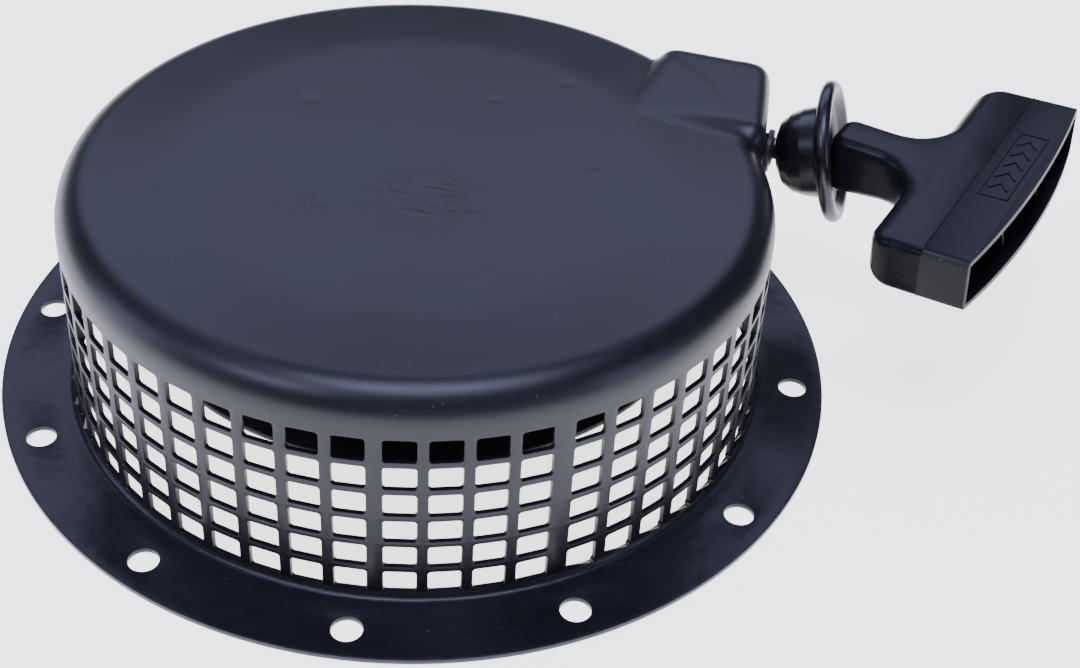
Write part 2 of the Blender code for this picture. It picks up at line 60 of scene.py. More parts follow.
cover_low, cover_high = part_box("cover")
ferrule_low, ferrule_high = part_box("rope_ferrule")
drum = Vector(((cover_low.x + cover_high.x) / 2, 0, 0))
rope_y = (ferrule_low.y + ferrule_high.y) / 2
rope_z = (ferrule_low.z + ferrule_high.z) / 2
sheet = 1.5 * mm
flange_r = (cover_high.y - cover_low.y) / 2
crown_z = cover_high.z
crown_r = 74 * mm
crown_fall = 0.096
shoulder_r = 11 * mm
shoulder_z = crown_z - 2.5 * mm
wall_top_r = 110.8 * mm
wall_foot_r = 111.8 * mm
foot_fillet = 2.2 * mm
flange_cell_in = wall_foot_r + 4 * mm
flange_cell_out = flange_r - 1.2 * mm
bolt_circle_r = 125 * mm
bolt_hole_r = 4.6 * mm
bolt_count = 12
bolt_phase = 9
slot_columns = 54
slot_rows = 6
slot_width = 9.6 * mm
slot_height = 8.0 * mm
slot_corner = 1.1 * mm
row_step = 9.8 * mm
wall_low_z = 7.6 * mm - row_step / 2
wall_high_z = wall_low_z + slot_rows * row_step
column_steps = 4
ring_steps = slot_columns * column_steps
ring_start = math.radians(bolt_phase - 15)
column_turn = math.tau / slot_columns
shoulder_middle = (wall_top_r - shoulder_r, shoulder_z - shoulder_r)
shoulder_turn = 84.5

hood_rows = 3
hood_first_column = 4
hood_columns = 7
hood_inner_x = 56 * mm
hood_end_x = 97.2 * mm
hood_end_skew = 2.6 * mm
hood_top_z = 77.3 * mm
hood_top_half = 18 * mm
hood_near_more = 10 * mm
hood_edge_r = 11 * mm
hood_belt_z = 47 * mm
hood_belt_half = 23 * mm
hood_under_z = 36 * mm
hood_under_in = 17 * mm
hood_core = Vector((62 * mm, 70 * mm, 50 * mm))
hood_blend = 6 * mm
hood_soft_x = 84 * mm
hood_soft_rounds = 10
end_soft_rounds = 3
rope_hole_r = 6.3 * mm


def wall_radius(z):
    """The wall leans in a little towards the crown, as the draw needs."""
    share = (z - wall_low_z) / (wall_high_z - wall_low_z)
    return wall_foot_r + (wall_top_r - wall_foot_r) * share


def crown_height(radius):
    """A flat middle that falls away gently from its rim to the shoulder."""
    soft = 10 * mm
    fall = max(0.0, radius - crown_r + soft / 2)
    drop = fall * fall / (2 * soft) if fall < soft else fall - soft / 2
    return crown_z - drop * crown_fall


def on_drum_profile(radius, z):
    """The nearest point of the drum's own outline to (radius, z)."""
    out, up = radius - shoulder_middle[0], z - shoulder_middle[1]
    turn = math.degrees(math.atan2(up, out))
    if up <= 0 and out > 0:
        return wall_radius(z), z
    if turn < shoulder_turn:
        reach = math.hypot(out, up)
        return shoulder_middle[0] + out / reach * shoulder_r, shoulder_middle[1] + up / reach * shoulder_r
    return radius, crown_height(radius)


def turn_up(bm, geom, angle, steps, merge=False, copies=False):
    """Turns geometry round the Z axis, as a skin or as separate copies."""
    made = bmesh.ops.spin(
        bm,
        geom=geom,
        axis=(0, 0, 1),
        cent=(0, 0, 0),
        dvec=(0, 0, 0),
        angle=angle,
        steps=steps,
        use_merge=merge,
        use_duplicate=copies,
    )
    return made["geom_last"]


def add_profile(bm, points, start=0.0, closed=False):
    """A chain of (radius, height) points in the plane at angle start."""
    turned = Matrix.Rotation(start, 3, "Z")
    verts = [bm.verts.new(turned @ Vector((radius, 0, height))) for radius, height in points]
    edges = [bm.edges.new(pair) for pair in zip(verts, verts[1:])]
    if closed:
        edges.append(bm.edges.new((verts[-1], verts[0])))
    return verts + edges


def arc(centre, radius, start, stop, steps):
    """Points on an arc in a plane, angles in degrees, both ends included."""
    turns = [math.radians(start + (stop - start) * i / steps) for i in range(steps + 1)]
    return [(centre[0] + radius * math.cos(a), centre[1] + radius * math.sin(a)) for a in turns]


def take_in(bm, other):
    """Moves all of one bmesh into another and says which points came over."""
    mesh = bpy.data.meshes.new("moved")
    other.to_mesh(mesh)
    other.free()
    before = len(bm.verts)
    bm.from_mesh(mesh)
    bpy.data.meshes.remove(mesh)
    bm.verts.ensure_lookup_table()
    return bm.verts[before:]


def add_slot_columns(bm):
    """One column of six cells, each a rounded slot with its ribs, copied all round the wall."""
    cell = bmesh.new()
    bmesh.ops.create_grid(cell, x_segments=column_steps, y_segments=2, size=0.5)
    bmesh.ops.scale(cell, vec=(column_turn * wall_foot_r, row_step, 1), verts=cell.verts)
    bmesh.ops.delete(cell, geom=[v for v in cell.verts if not v.is_boundary], context="VERTS")
    ring = bmesh.ops.create_circle(cell, segments=16, radius=slot_corner, cap_ends=False)["verts"]
    half_step = Matrix.Rotation(math.tau / 32, 3, "Z")
    bmesh.ops.rotate(cell, verts=ring, cent=(0, 0, 0), matrix=half_step)
    for vert in ring:
        vert.co.x += math.copysign(slot_width / 2 - slot_corner, vert.co.x)
        vert.co.y += math.copysign(slot_height / 2 - slot_corner, vert.co.y)
    bmesh.ops.bridge_loops(cell, edges=cell.edges[:])
    bmesh.ops.translate(cell, verts=cell.verts, vec=(0, wall_low_z + row_step / 2, 0))
    first = cell.verts[:] + cell.edges[:] + cell.faces[:]
    for row in range(1, slot_rows):
        copy = bmesh.ops.duplicate(cell, geom=first)["geom"]
        moved = [v for v in copy if isinstance(v, bmesh.types.BMVert)]
        bmesh.ops.translate(cell, verts=moved, vec=(0, row * row_step, 0))
    for vert in cell.verts:
        angle = ring_start + column_turn / 2 + vert.co.x / wall_foot_r
        height = vert.co.y
        radius = wall_radius(height)
        vert.co = (radius * math.cos(angle), radius * math.sin(angle), height)
    everything = cell.verts[:] + cell.edges[:] + cell.faces[:]
    turn_up(cell, everything, math.tau, slot_columns, copies=True)
    bmesh.ops.remove_doubles(cell, verts=cell.verts, dist=0.02 * mm)
    take_in(bm, cell)


def close_hood_columns(bm):
    """The columns under the hood are left unpunched above their third row."""
    start = ring_start + column_turn * hood_first_column
    turn = column_turn * hood_columns
    foot = wall_low_z + hood_rows * row_step
    punched = []
    for face in bm.faces:
        centre = face.calc_center_median()
        ahead = (math.atan2(centre.y, centre.x) - start) % math.tau
        if ahead < turn and foot < centre.z < wall_high_z:
            punched.append(face)
    bmesh.ops.delete(bm, geom=punched, context="FACES")
    levels = [foot + i * row_step / 2 for i in range(2 * hood_rows + 1)]
    plain = add_profile(bm, [(wall_radius(z), z) for z in levels], start)
    turn_up(bm, plain, turn, hood_columns * column_steps)


def add_flange_cells(bm):
    """The flange's middle as twelve equal pieces, each with its bolt hole."""
    sector = bmesh.new()
    step = math.tau / ring_steps
    count = ring_steps // bolt_count
    rings = []
    for radius in (flange_cell_in, flange_cell_out):
        turns = [(i - count / 2) * step for i in range(count + 1)]
        rings.append([sector.verts.new((radius * math.cos(a), radius * math.sin(a), sheet)) for a in turns])
    for ring in rings:
        for pair in zip(ring, ring[1:]):
            sector.edges.new(pair)
    for end in (0, -1):
        sector.edges.new((rings[0][end], rings[1][end]))
    hole = Matrix.Translation((bolt_circle_r, 0, sheet))
    bmesh.ops.create_circle(sector, segments=32, radius=bolt_hole_r, cap_ends=False, matrix=hole)
    bmesh.ops.bridge_loops(sector, edges=sector.edges[:])
    turned = Matrix.Rotation(math.radians(bolt_phase), 3, "Z")
    bmesh.ops.rotate(sector, verts=sector.verts, cent=(0, 0, 0), matrix=turned)
    everything = sector.verts[:] + sector.edges[:] + sector.faces[:]
    turn_up(sector, everything, math.tau, bolt_count, copies=True)
    bmesh.ops.remove_doubles(sector, verts=sector.verts, dist=0.02 * mm)
    take_in(bm, sector)


def real_column(number):
    """Angle of a slot column, counted clockwise from the widest rib, where the press tool began."""
    if number < 0:
        return -47.1 + 6.65 * (-1 - number)
    if number < 4:
        return -55.1 - 6.5 * number
    return -81.8 - 6.53 * (number - 4)


def shift_columns(bm):
    """Moves the even columns of the wall to where the press tool really put them."""
    step = math.degrees(column_turn)
    slot_half = 2.6
    first = bolt_phase - 15 + step / 2 - 8 * step
    lowest = -20
    for vert in bm.verts:
        share = min(1.0, max(0.0, (vert.co.z - sheet) / (2 * mm)))
        if share == 0 or vert.co.xy.length < mm:
            continue
        angle = math.degrees(math.atan2(vert.co.y, vert.co.x))
        number = (round((first - angle) / step) - lowest) % slot_columns + lowest
        offset = (angle - first + number * step + 180) % 360 - 180
        side = math.copysign(1, offset)
        place = real_column(number) + side * min(abs(offset), slot_half)
        if abs(offset) > slot_half:
            other = (number - int(side) - lowest) % slot_columns + lowest
            reach = (real_column(other) - side * slot_half - place + 180) % 360 - 180
            place += reach * (abs(offset) - slot_half) / (step - 2 * slot_half)
        turn = (place - angle + 180) % 360 - 180
        vert.co = Matrix.Rotation(math.radians(turn * share), 3, "Z") @ vert.co


def near_hood(place):
    angle = math.degrees(math.atan2(place.y, place.x))
    return 12 < angle < 82 and place.z > wall_low_z + hood_rows * row_step - mm and place.xy.length > 44 * mm


def refine_round_hood(bm):
    """A finer skin where the hood is drawn, seated again on the drum's own outline."""
    edges = [e for e in bm.edges if near_hood(e.verts[0].co) and near_hood(e.verts[1].co)]
    bmesh.ops.subdivide_edges(bm, edges=edges, cuts=2, use_grid_fill=True)
    for vert in bm.verts:
        if near_hood(vert.co):
            flat = vert.co.xy.length
            radius, height = on_drum_profile(flat, vert.co.z)
            vert.co = (vert.co.x * radius / flat, vert.co.y * radius / flat, height)


def hood_form():
    """The forming die's hood: a drafted block with generous edges."""
    block = bmesh.new()
    bmesh.ops.create_cube(block, size=1)
    everything = block.verts[:] + block.edges[:] + block.faces[:]
    bmesh.ops.bisect_plane(block, geom=everything, plane_co=(0, 0, 0), plane_no=(0, 0, 1))
    for vert in block.verts:
        outer = vert.co.x > 0
        side = math.copysign(1, vert.co.y)
        level = round(vert.co.z * 2)
        half = hood_top_half if level == 1 else hood_belt_half
        if side < 0:
            half += hood_near_more
        end = hood_end_x - side * hood_end_skew
        if level == -1:
            end -= hood_under_in
        height = (hood_under_z, hood_belt_z, hood_top_z)[level + 1]
        vert.co = (end if outer else hood_inner_x, rope_y + side * half, height)
    bmesh.ops.bevel(
        block,
        geom=block.edges[:],
        offset=hood_edge_r,
        offset_type="OFFSET",
        segments=7,
        profile=0.5,
        affect="EDGES",
        clamp_overlap=True,
        material=-1,
    )
    bmesh.ops.triangulate(block, faces=block.faces)
    tree = BVHTree.FromBMesh(block)
    block.free()
    return tree


def draw_hood(bm, tree):
    """Pushes the skin out to the die, with a soft fillet where the two meet."""
    moved = []
    for vert in bm.verts:
        if not near_hood(vert.co):
            continue
        ray = vert.co - hood_core
        reach = tree.ray_cast(hood_core, ray)[3]
        near = max(hood_blend - abs(reach - ray.length), 0) / hood_blend
        length = max(reach, ray.length) + near * near * hood_blend / 4
        if length > ray.length + 0.01 * mm:
            vert.co = hood_core + ray.normalized() * length
            vert.co.z = min(vert.co.z, crown_z)
            moved.append(vert)
    on_top = [v for v in moved if v.co.x < hood_soft_x]
    for i in range(hood_soft_rounds):
        softened = moved if i < end_soft_rounds else on_top
        bmesh.ops.smooth_vert(
            bm, verts=softened, factor=0.5, use_axis_x=True, use_axis_y=True, use_axis_z=True
        )


def cut_rope_hole(bm, tree):
    """Opens the hood's end round the rope's line."""
    lost = []
    for face in bm.faces:
        centre = face.calc_center_median()
        if centre.x > 85 * mm and math.hypot(centre.y - rope_y, centre.z - rope_z) < rope_hole_r + 1.4 * mm:
            lost.append(face)
    rim = {e for f in lost for e in f.edges if any(g not in lost for g in e.link_faces)}
    bmesh.ops.delete(bm, geom=lost, context="FACES")
    ring = bmesh.ops.create_circle(bm, segments=40, radius=rope_hole_r, cap_ends=False)["verts"]
    for vert in ring:
        out = Vector((120 * mm, rope_y + vert.co.x, rope_z + vert.co.y))
        vert.co = tree.ray_cast(out, (-1, 0, 0))[0]
    edges = [e for e in rim if e.is_valid] + list({e for v in ring for e in v.link_edges})
    bmesh.ops.bridge_loops(bm, edges=edges)


def make_piece(name, bm, body, material, replaced=(), sharp=38):
    """A finished bmesh as a piece that rides on a body, smooth but for its sharp edges."""
    mesh = bpy.data.meshes.new(name)
    bm.to_mesh(mesh)
    bm.free()
    mesh.shade_smooth()
    mesh.set_sharp_from_angle(angle=math.radians(sharp))
    piece = bpy.data.objects.new(name, mesh)
    bpy.context.scene.collection.objects.link(piece)
    mesh.materials.append(material)
    if body:
        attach(piece, body)
    if replaced:
        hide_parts(*replaced)
    return piece


def recalculate(bm):
    bmesh.ops.remove_doubles(bm, verts=bm.verts, dist=0.01 * mm)
    bmesh.ops.recalc_face_normals(bm, faces=bm.faces)


def bevel_sharp(bm, angle, width, segments=2, ahead=None):
    """Rounds every edge sharper than angle, in degrees."""
    edges = [e for e in bm.edges if len(e.link_faces) == 2 and e.calc_face_angle() > math.radians(angle)]
    if ahead:
        edges = [e for e in edges if ahead(e)]
    bmesh.ops.bevel(
        bm,
        geom=edges,
        offset=width,
        offset_type="OFFSET",
        segments=segments,
        profile=0.5,
        affect="EDGES",
        clamp_overlap=True,
        material=-1,
    )


cover_bm = bmesh.new()
add_slot_columns(cover_bm)
close_hood_columns(cover_bm)
add_flange_cells(cover_bm)
crown_line = [(radius * mm, crown_height(radius * mm)) for radius in range(0, 101, 4)]
crown_line += arc(shoulder_middle, shoulder_r, shoulder_turn, 0, 14)
crown_line.append((wall_radius(wall_high_z), wall_high_z))
foot_middle = (wall_foot_r + foot_fillet, sheet + foot_fillet)
foot_line = [(wall_radius(wall_low_z), wall_low_z)]
foot_line += arc(foot_middle, foot_fillet, 180, 270, 6)
foot_line.append((flange_cell_in, sheet))
rim_line = [(flange_cell_out, sheet), (flange_r - 0.05 * mm, sheet)]
for line in (crown_line, foot_line, rim_line):
    turn_up(cover_bm, add_profile(cover_bm, line, ring_start), math.tau, ring_steps, merge=True)
bmesh.ops.remove_doubles(cover_bm, verts=cover_bm.verts, dist=0.02 * mm)
shift_columns(cover_bm)
refine_round_hood(cover_bm)
die = hood_form()
draw_hood(cover_bm, die)
cut_rope_hole(cover_bm, die)
bmesh.ops.recalc_face_normals(cover_bm, faces=cover_bm.faces)
if sum(f.normal.z * f.calc_area() for f in cover_bm.faces) < 0:
    bmesh.ops.reverse_faces(cover_bm, faces=cover_bm.faces)
bmesh.ops.translate(cover_bm, verts=cover_bm.verts, vec=drum)


def harden(bm, thickness):
    """Gives a skin its wall, inwards, and closes the cut edges."""
    mesh = bpy.data.meshes.new("skin")
    bm.to_mesh(mesh)
    skin = bpy.data.objects.new("skin", mesh)
    bpy.context.scene.collection.objects.link(skin)
    wall = skin.modifiers.new("wall", "SOLIDIFY")
    wall.thickness = thickness
    wall.offset = -1
    solid = evaluated_mesh(skin)
    bm.clear()
    bm.from_mesh(solid)
    bpy.data.objects.remove(skin)


def evaluated_mesh(obj):
    """What an object's modifiers or its curve's thickness make of it."""
    bpy.context.view_layer.update()
    return bpy.data.meshes.new_from_object(obj.evaluated_get(bpy.context.evaluated_depsgraph_get()))


def new_material(name, color, metallic, roughness):
    material = bpy.data.materials.new(name)
    material.use_nodes = True
    shader = material.node_tree.nodes["Principled BSDF"]
    shader.inputs["Base Color"].default_value = (*color, 1)
    shader.inputs["Metallic"].default_value = metallic
    shader.inputs["Roughness"].default_value = roughness
    return material


def add_node(material, kind, inputs, **settings):
    """One shader node. Inputs, by name or number, are values or other nodes' outputs."""
    node = material.node_tree.nodes.new("ShaderNode" + kind)
    for name, value in settings.items():
        setattr(node, name, value)
    for name, value in inputs.items():
        if isinstance(value, bpy.types.NodeSocket):
            material.node_tree.links.new(value, node.inputs[name])
        else:
            node.inputs[name].default_value = value
    return node


def drive(material, socket, output):
    shader = material.node_tree.nodes["Principled BSDF"]
    material.node_tree.links.new(output, shader.inputs[socket])


def places(material, scale=(1, 1, 1), turn=(0, 0, 0)):
    """Object coordinates, stretched or turned for grain that runs one way."""
    coords = add_node(material, "TexCoord", {})
    mapping = {"Vector": coords.outputs["Object"], "Scale": scale, "Rotation": turn}
    return add_node(material, "Mapping", mapping).outputs[0]


def noise(material, where, scale, detail=2, rough=0.5):
    inputs = {"Vector": where, "Scale": scale, "Detail": detail, "Roughness": rough}
    return add_node(material, "TexNoise", inputs).outputs[0]


def remap(material, value, low, high, to_low=0.0, to_high=1.0):
    """A smooth step from low to high."""
    inputs = {0: value, 1: low, 2: high, 3: to_low, 4: to_high}
    return add_node(material, "MapRange", inputs, interpolation_type="SMOOTHSTEP").outputs[0]


def combine(material, operation, first, second):
    return add_node(material, "Math", {0: first, 1: second}, operation=operation).outputs[0]


def blend_color(material, share, first, second):
    inputs = {0: share}
    for socket, value in ((6, first), (7, second)):
        inputs[socket] = value if isinstance(value, bpy.types.NodeSocket) else (*value, 1)
    return add_node(material, "Mix", inputs, data_type="RGBA").outputs[2]


def tint(material, pattern, low, high, dark, light):
    share = remap(material, pattern, low, high)
    drive(material, "Base Color", blend_color(material, share, dark, light))


def bump(material, height, distance, strength=1.0, below=None):
    inputs = {"Height": height, "Distance": distance, "Strength": strength}
    if below:
        inputs["Normal"] = below
    return add_node(material, "Bump", inputs).outputs[0]


def spot(material, where, centre, inner, outer):
    """1 inside inner of centre, falling to 0 at outer."""
    away = add_node(material, "VectorMath", {0: where, 1: centre}, operation="DISTANCE").outputs["Value"]
    return remap(material, away, inner, outer, 1.0, 0.0)


paint = new_material("cover_paint", (0.022, 0.023, 0.030), 0.0, 0.36)
here = places(paint)
clouds = noise(paint, here, 18, 4)
fine = noise(paint, here, 260, 3)
specks = remap(paint, noise(paint, here, 900, 1), 0.76, 0.80)
smear = noise(paint, places(paint, (90, 620, 90), (0, 0, 0.45)), 1, 5, 0.7)
smear_spot = spot(paint, here, (drum.x + 8 * mm, -22 * mm, crown_z), 4 * mm, 26 * mm)
scuff = combine(paint, "MULTIPLY", remap(paint, smear, 0.50, 0.62), smear_spot)
second_spot = spot(paint, here, (drum.x - 28 * mm, -34 * mm, crown_z), 3 * mm, 18 * mm)
scuff = combine(
    paint, "MAXIMUM", scuff, combine(paint, "MULTIPLY", remap(paint, smear, 0.54, 0.66), second_spot)
)
scuff = combine(paint, "MULTIPLY", scuff, 0.7)
split = add_node(paint, "SeparateXYZ", {0: here})
from_axis = add_node(paint, "VectorMath", {0: here, 1: (drum.x, 0, 0)}, operation="SUBTRACT").outputs[0]
flat = add_node(paint, "VectorMath", {0: from_axis, 1: (1, 1, 0)}, operation="MULTIPLY").outputs[0]
out = add_node(paint, "VectorMath", {0: flat}, operation="LENGTH").outputs["Value"]
rim_wear = remap(
    paint, combine(paint, "ADD", out, combine(paint, "MULTIPLY", fine, 1.5 * mm)), 134.9 * mm, 136.4 * mm
)
tone = blend_color(paint, remap(paint, clouds, 0.35, 0.65), (0.0065, 0.0068, 0.0095), (0.010, 0.0105, 0.014))
tone = blend_color(paint, scuff, tone, (0.003, 0.003, 0.004))
tone = blend_color(paint, combine(paint, "MULTIPLY", specks, 0.5), tone, (0.08, 0.08, 0.095))
tone = blend_color(paint, combine(paint, "MULTIPLY", rim_wear, 0.35), tone, (0.05, 0.05, 0.055))
drive(paint, "Base Color", tone)
gloss = combine(
    paint, "ADD", remap(paint, clouds, 0.3, 0.7, 0.35, 0.38), combine(paint, "MULTIPLY", scuff, 0.2)
)
drive(paint, "Roughness", combine(paint, "ADD", gloss, combine(paint, "MULTIPLY", specks, 0.2)))
peel = bump(paint, fine, 0.03 * mm, 0.5)
foot_near = remap(
    paint,
    combine(paint, "ADD", split.outputs[2], combine(paint, "MULTIPLY", out, -0.5)),
    -53 * mm,
    -50 * mm,
    1,
    0,
)
ripple = combine(paint, "MULTIPLY", noise(paint, here, 150, 2), foot_near)
peel = bump(paint, ripple, 0.5 * mm, 0.6, peel)
dents = [(-44, 20, 1.6), (31, 58, 1.2), (-70, -40, 1.3), (52, 12, 1.0), (-12, -96, 1.6), (12, 40, 0.9)]
dented = None
for x, y, size in dents:
    centre = (drum.x + x * mm, y * mm, crown_z)
    one = spot(paint, here, centre, 0.2 * size * mm, 3.4 * size * mm)
    dented = one if dented is None else combine(paint, "MAXIMUM", dented, one)
drive(paint, "Normal", bump(paint, combine(paint, "MULTIPLY", dented, -1.0), 0.18 * mm, 0.7, peel))
paint.node_tree.nodes["Principled BSDF"].inputs["IOR"].default_value = 1.42

harden(cover_bm, sheet)
bevel_sharp(cover_bm, 50, 0.2 * mm, 2)
make_piece("cover_pressing", cover_bm, "housing", paint, ["cover"], 44)

# ---------------------------------------------------------------------------
# Rope eyelet. A black moulded bush with a collar outside the hood's end, which keeps the rope
# off the sheet's cut edge.
# ---------------------------------------------------------------------------


def rounded(points, radius, steps=4, closed=False):
    """A chain of (radius, height) points with each corner turned into an arc."""
    out = []
    count = len(points)
    for i, point in enumerate(points):
        if not closed and i in (0, count - 1):
            out.append(point)
            continue
        here = Vector(point)
        back, ahead = Vector(points[i - 1]) - here, Vector(points[(i + 1) % count]) - here
        half = back.angle(ahead) / 2
        reach = min(radius / math.tan(half), 0.49 * back.length, 0.49 * ahead.length)
        first, last = here + back.normalized() * reach, here + ahead.normalized() * reach
        for step in range(steps + 1):
            share = step / steps
            out.append(tuple(first.lerp(here, share).lerp(here.lerp(last, share), share)))
    return out


def turned(points, steps=96, closed=True, place=None):
    """A body turned from its outline, then set in place."""
    bm = bmesh.new()
    turn_up(bm, add_profile(bm, points, 0, closed), math.tau, steps, merge=True)
    recalculate(bm)
    if place is not None:
        bmesh.ops.transform(bm, matrix=place, verts=bm.verts)
    return bm


def on_drum(angle=0.0, radius=0.0, height=0.0):
    spun = Matrix.Rotation(math.radians(angle), 4, "Z")
    return Matrix.Translation(drum + Vector((0, 0, height))) @ spun @ Matrix.Translation((radius, 0, 0))


def in_mm(*points):
    return [(radius * mm, height * mm) for radius, height in points]


rope_line = Matrix.Translation((drum.x, rope_y, rope_z)) @ Matrix.Rotation(math.pi / 2, 4, "Y")
eyelet = in_mm(
    (3.1, 100.6), (4.9, 100.6), (4.9, 100.1), (7.4, 99.9), (7.4, 98.1),
    (6, 98), (6, 90), (4.6, 89), (3.1, 90),
)
eyelet_bm = turned(rounded(eyelet, 0.35 * mm, 3, True), 72, True, rope_line)
eyelet_nylon = new_material("eyelet_nylon", (0.018, 0.018, 0.020), 0.0, 0.42)
flow = noise(eyelet_nylon, places(eyelet_nylon), 420, 4)
drive(eyelet_nylon, "Roughness", remap(eyelet_nylon, flow, 0.3, 0.7, 0.36, 0.5))
make_piece("rope_eyelet", eyelet_bm, "housing", eyelet_nylon, ["rope_ferrule"])

# ---------------------------------------------------------------------------
# Spindle. A steel stud riveted to a round plate that is spot welded under the crown. It
# carries the reel, and the recoil spring's inner end hooks into it.
# ---------------------------------------------------------------------------

def dress(name, material):
    """Gives a solid of the frame its material."""
    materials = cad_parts[name].data.materials
    materials.clear()
    materials.append(material)


spindle_steel = new_material("turned_steel", (0.46, 0.46, 0.47), 1.0, 0.3)
lathe_lines = noise(spindle_steel, places(spindle_steel, (1, 1, 40)), 90, 3)
drive(spindle_steel, "Roughness", remap(spindle_steel, lathe_lines, 0.3, 0.7, 0.22, 0.42))
drive(spindle_steel, "Normal", bump(spindle_steel, lathe_lines, 0.02 * mm, 0.6))
for name in ("spindle", "spindle_plate"):
    dress(name, spindle_steel)

# ---------------------------------------------------------------------------
# Recoil spring. Blued spring strip, wound flat in the reel's chamber, hooked to the spindle
# inside and to the reel outside.
# ---------------------------------------------------------------------------

blued = new_material("blued_spring_steel", (0.13, 0.15, 0.19), 1.0, 0.3)
stain = noise(blued, places(blued), 60, 4)
tint(blued, stain, 0.35, 0.65, (0.10, 0.12, 0.17), (0.20, 0.19, 0.20))
drive(blued, "Roughness", remap(blued, stain, 0.3, 0.7, 0.25, 0.4))
for name in ("recoil_spring", "pawl_spring_1", "pawl_spring_2", "friction_spring"):
    dress(name, blued)

# ---------------------------------------------------------------------------
# Reel. Moulded in black glass-filled nylon: a rope groove between two flanges, the spring's
# chamber above, and a deep hollow below with ribs round the skirt.
# ---------------------------------------------------------------------------

nylon = new_material("reel_nylon", (0.018, 0.018, 0.020), 0.0, 0.5)
here = places(nylon)
fibres = noise(nylon, places(nylon, (1, 3, 1)), 420, 4)
tint(nylon, fibres, 0.35, 0.7, (0.014, 0.014, 0.016), (0.028, 0.028, 0.031))
drive(nylon, "Roughness", remap(nylon, fibres, 0.3, 0.7, 0.42, 0.58))
drive(nylon, "Normal", bump(nylon, fibres, 0.04 * mm, 0.5))

reel_line = in_mm(
    (62, 72.2), (62, 61.7), (89.5, 61.5), (89.5, 59.6), (75.6, 57.6), (75.6, 34.6), (89.5, 32.9), (89.5, 31),
    (72, 31), (72, 50), (16, 50), (16, 47), (10.5, 47), (10.5, 59.6), (56.5, 59.6), (56.5, 72.2),
)
reel_bm = turned(rounded(reel_line, 0.6 * mm, 3, True), 120, True, on_drum())
rib_r, rib_z = 69.6 * mm, 44.0 * mm
for i in range(24):
    rib = bmesh.new()
    place = on_drum(7.5 + i * 15, rib_r, rib_z)
    bmesh.ops.create_cube(rib, size=1, matrix=place @ Matrix.Diagonal((5 * mm, 1.4 * mm, 12.2 * mm, 1)))
    bevel_sharp(rib, 60, 0.4 * mm, 2)
    take_in(reel_bm, rib)
make_piece("rope_reel", reel_bm, "reel", nylon, ["reel"])

# ---------------------------------------------------------------------------
# Reel bush. An oil-filled bronze sleeve pressed into the reel's bore.
# ---------------------------------------------------------------------------

bronze = new_material("sintered_bronze", (0.50, 0.31, 0.13), 1.0, 0.4)
grains = noise(bronze, places(bronze), 2200, 2)
tint(bronze, grains, 0.35, 0.6, (0.34, 0.20, 0.09), (0.56, 0.36, 0.17))
drive(bronze, "Roughness", remap(bronze, grains, 0.3, 0.7, 0.34, 0.52))
dress("reel_bush", bronze)

# ---------------------------------------------------------------------------
# Spring cover and its screws. A zinc plated disc that keeps the spring in its chamber, held
# to the reel by three pan-head screws.
# ---------------------------------------------------------------------------

zinc = new_material("zinc_plate", (0.55, 0.545, 0.53), 1.0, 0.32)
here = places(zinc)
mottle = noise(zinc, here, 160, 5)
tint(zinc, mottle, 0.3, 0.7, (0.50, 0.50, 0.50), (0.63, 0.61, 0.57))
drive(zinc, "Roughness", remap(zinc, mottle, 0.25, 0.75, 0.24, 0.42))
drive(zinc, "Normal", bump(zinc, noise(zinc, here, 1400, 3), 0.02 * mm, 0.5))

for name in ("spring_cover", "spring_cover_screw_1", "spring_cover_screw_2", "spring_cover_screw_3"):
    dress(name, zinc)

# ---------------------------------------------------------------------------
# Rope. Black braided nylon, 4.8 mm: three turns on the reel with a knot in the reel's
# hollow, a straight run out through the eyelet, and a stretch inside the grip to its knot.
# ---------------------------------------------------------------------------

rope_r = 2.4 * mm
coil_r = rope_y
coil_turns = 3
coil_rise = 5 * mm
coil_foot = rope_z - coil_turns * coil_rise
leaves = math.radians(86)


def braid(name, along):
    """Braided cord: strands that cross both ways, counted along each piece's own length, with painted shade
    in the valleys between them.
    """
    cord = new_material(name, (0.014, 0.014, 0.015), 0.0, 0.85)
    uv = add_node(cord, "UVMap", {})
    parts = add_node(cord, "SeparateXYZ", {0: uv.outputs[0]})
    lengthwise = combine(cord, "MULTIPLY", parts.outputs[0], along * math.tau)
    around = combine(cord, "MULTIPLY", parts.outputs[1], 4 * math.tau)
    left = combine(cord, "SINE", combine(cord, "ADD", lengthwise, around), 0)
    right = combine(cord, "SINE", combine(cord, "SUBTRACT", lengthwise, around), 0)
    strands = combine(cord, "MULTIPLY", left, right)
    height = remap(cord, strands, -0.9, 0.9)
    # Painted shade: the cord's colour follows the strands' height, darker in the valleys between them.
    drive(cord, "Base Color", blend_color(cord, height, (0.006, 0.006, 0.007), (0.030, 0.030, 0.033)))
    drive(cord, "Normal", bump(cord, height, 0.4 * mm, 0.8))
    cord.node_tree.nodes["Principled BSDF"].inputs["Sheen Weight"].default_value = 0.3
    return cord


def rope_piece(name, points, radius, sides=5, cyclic=False):
    """Rope along a smooth line of points, as a mesh with its length on its own UV map."""
    curve = bpy.data.curves.new(name + "_line", "CURVE")
    curve.dimensions = "3D"
    curve.bevel_depth = radius
    curve.bevel_resolution = sides
    curve.use_fill_caps = True
    spline = curve.splines.new("POLY")
    spline.points.add(len(points) - 1)
    spline.use_cyclic_u = cyclic
    for point, place in zip(spline.points, points):
        point.co = (*place, 1)
    line = bpy.data.objects.new(name + "_line", curve)
    bpy.context.scene.collection.objects.link(line)
    mesh = evaluated_mesh(line)
    bpy.data.objects.remove(line)
    bm = bmesh.new()
    bm.from_mesh(mesh)
    bmesh.ops.remove_doubles(bm, verts=bm.verts, dist=0.02 * mm)
    return bm


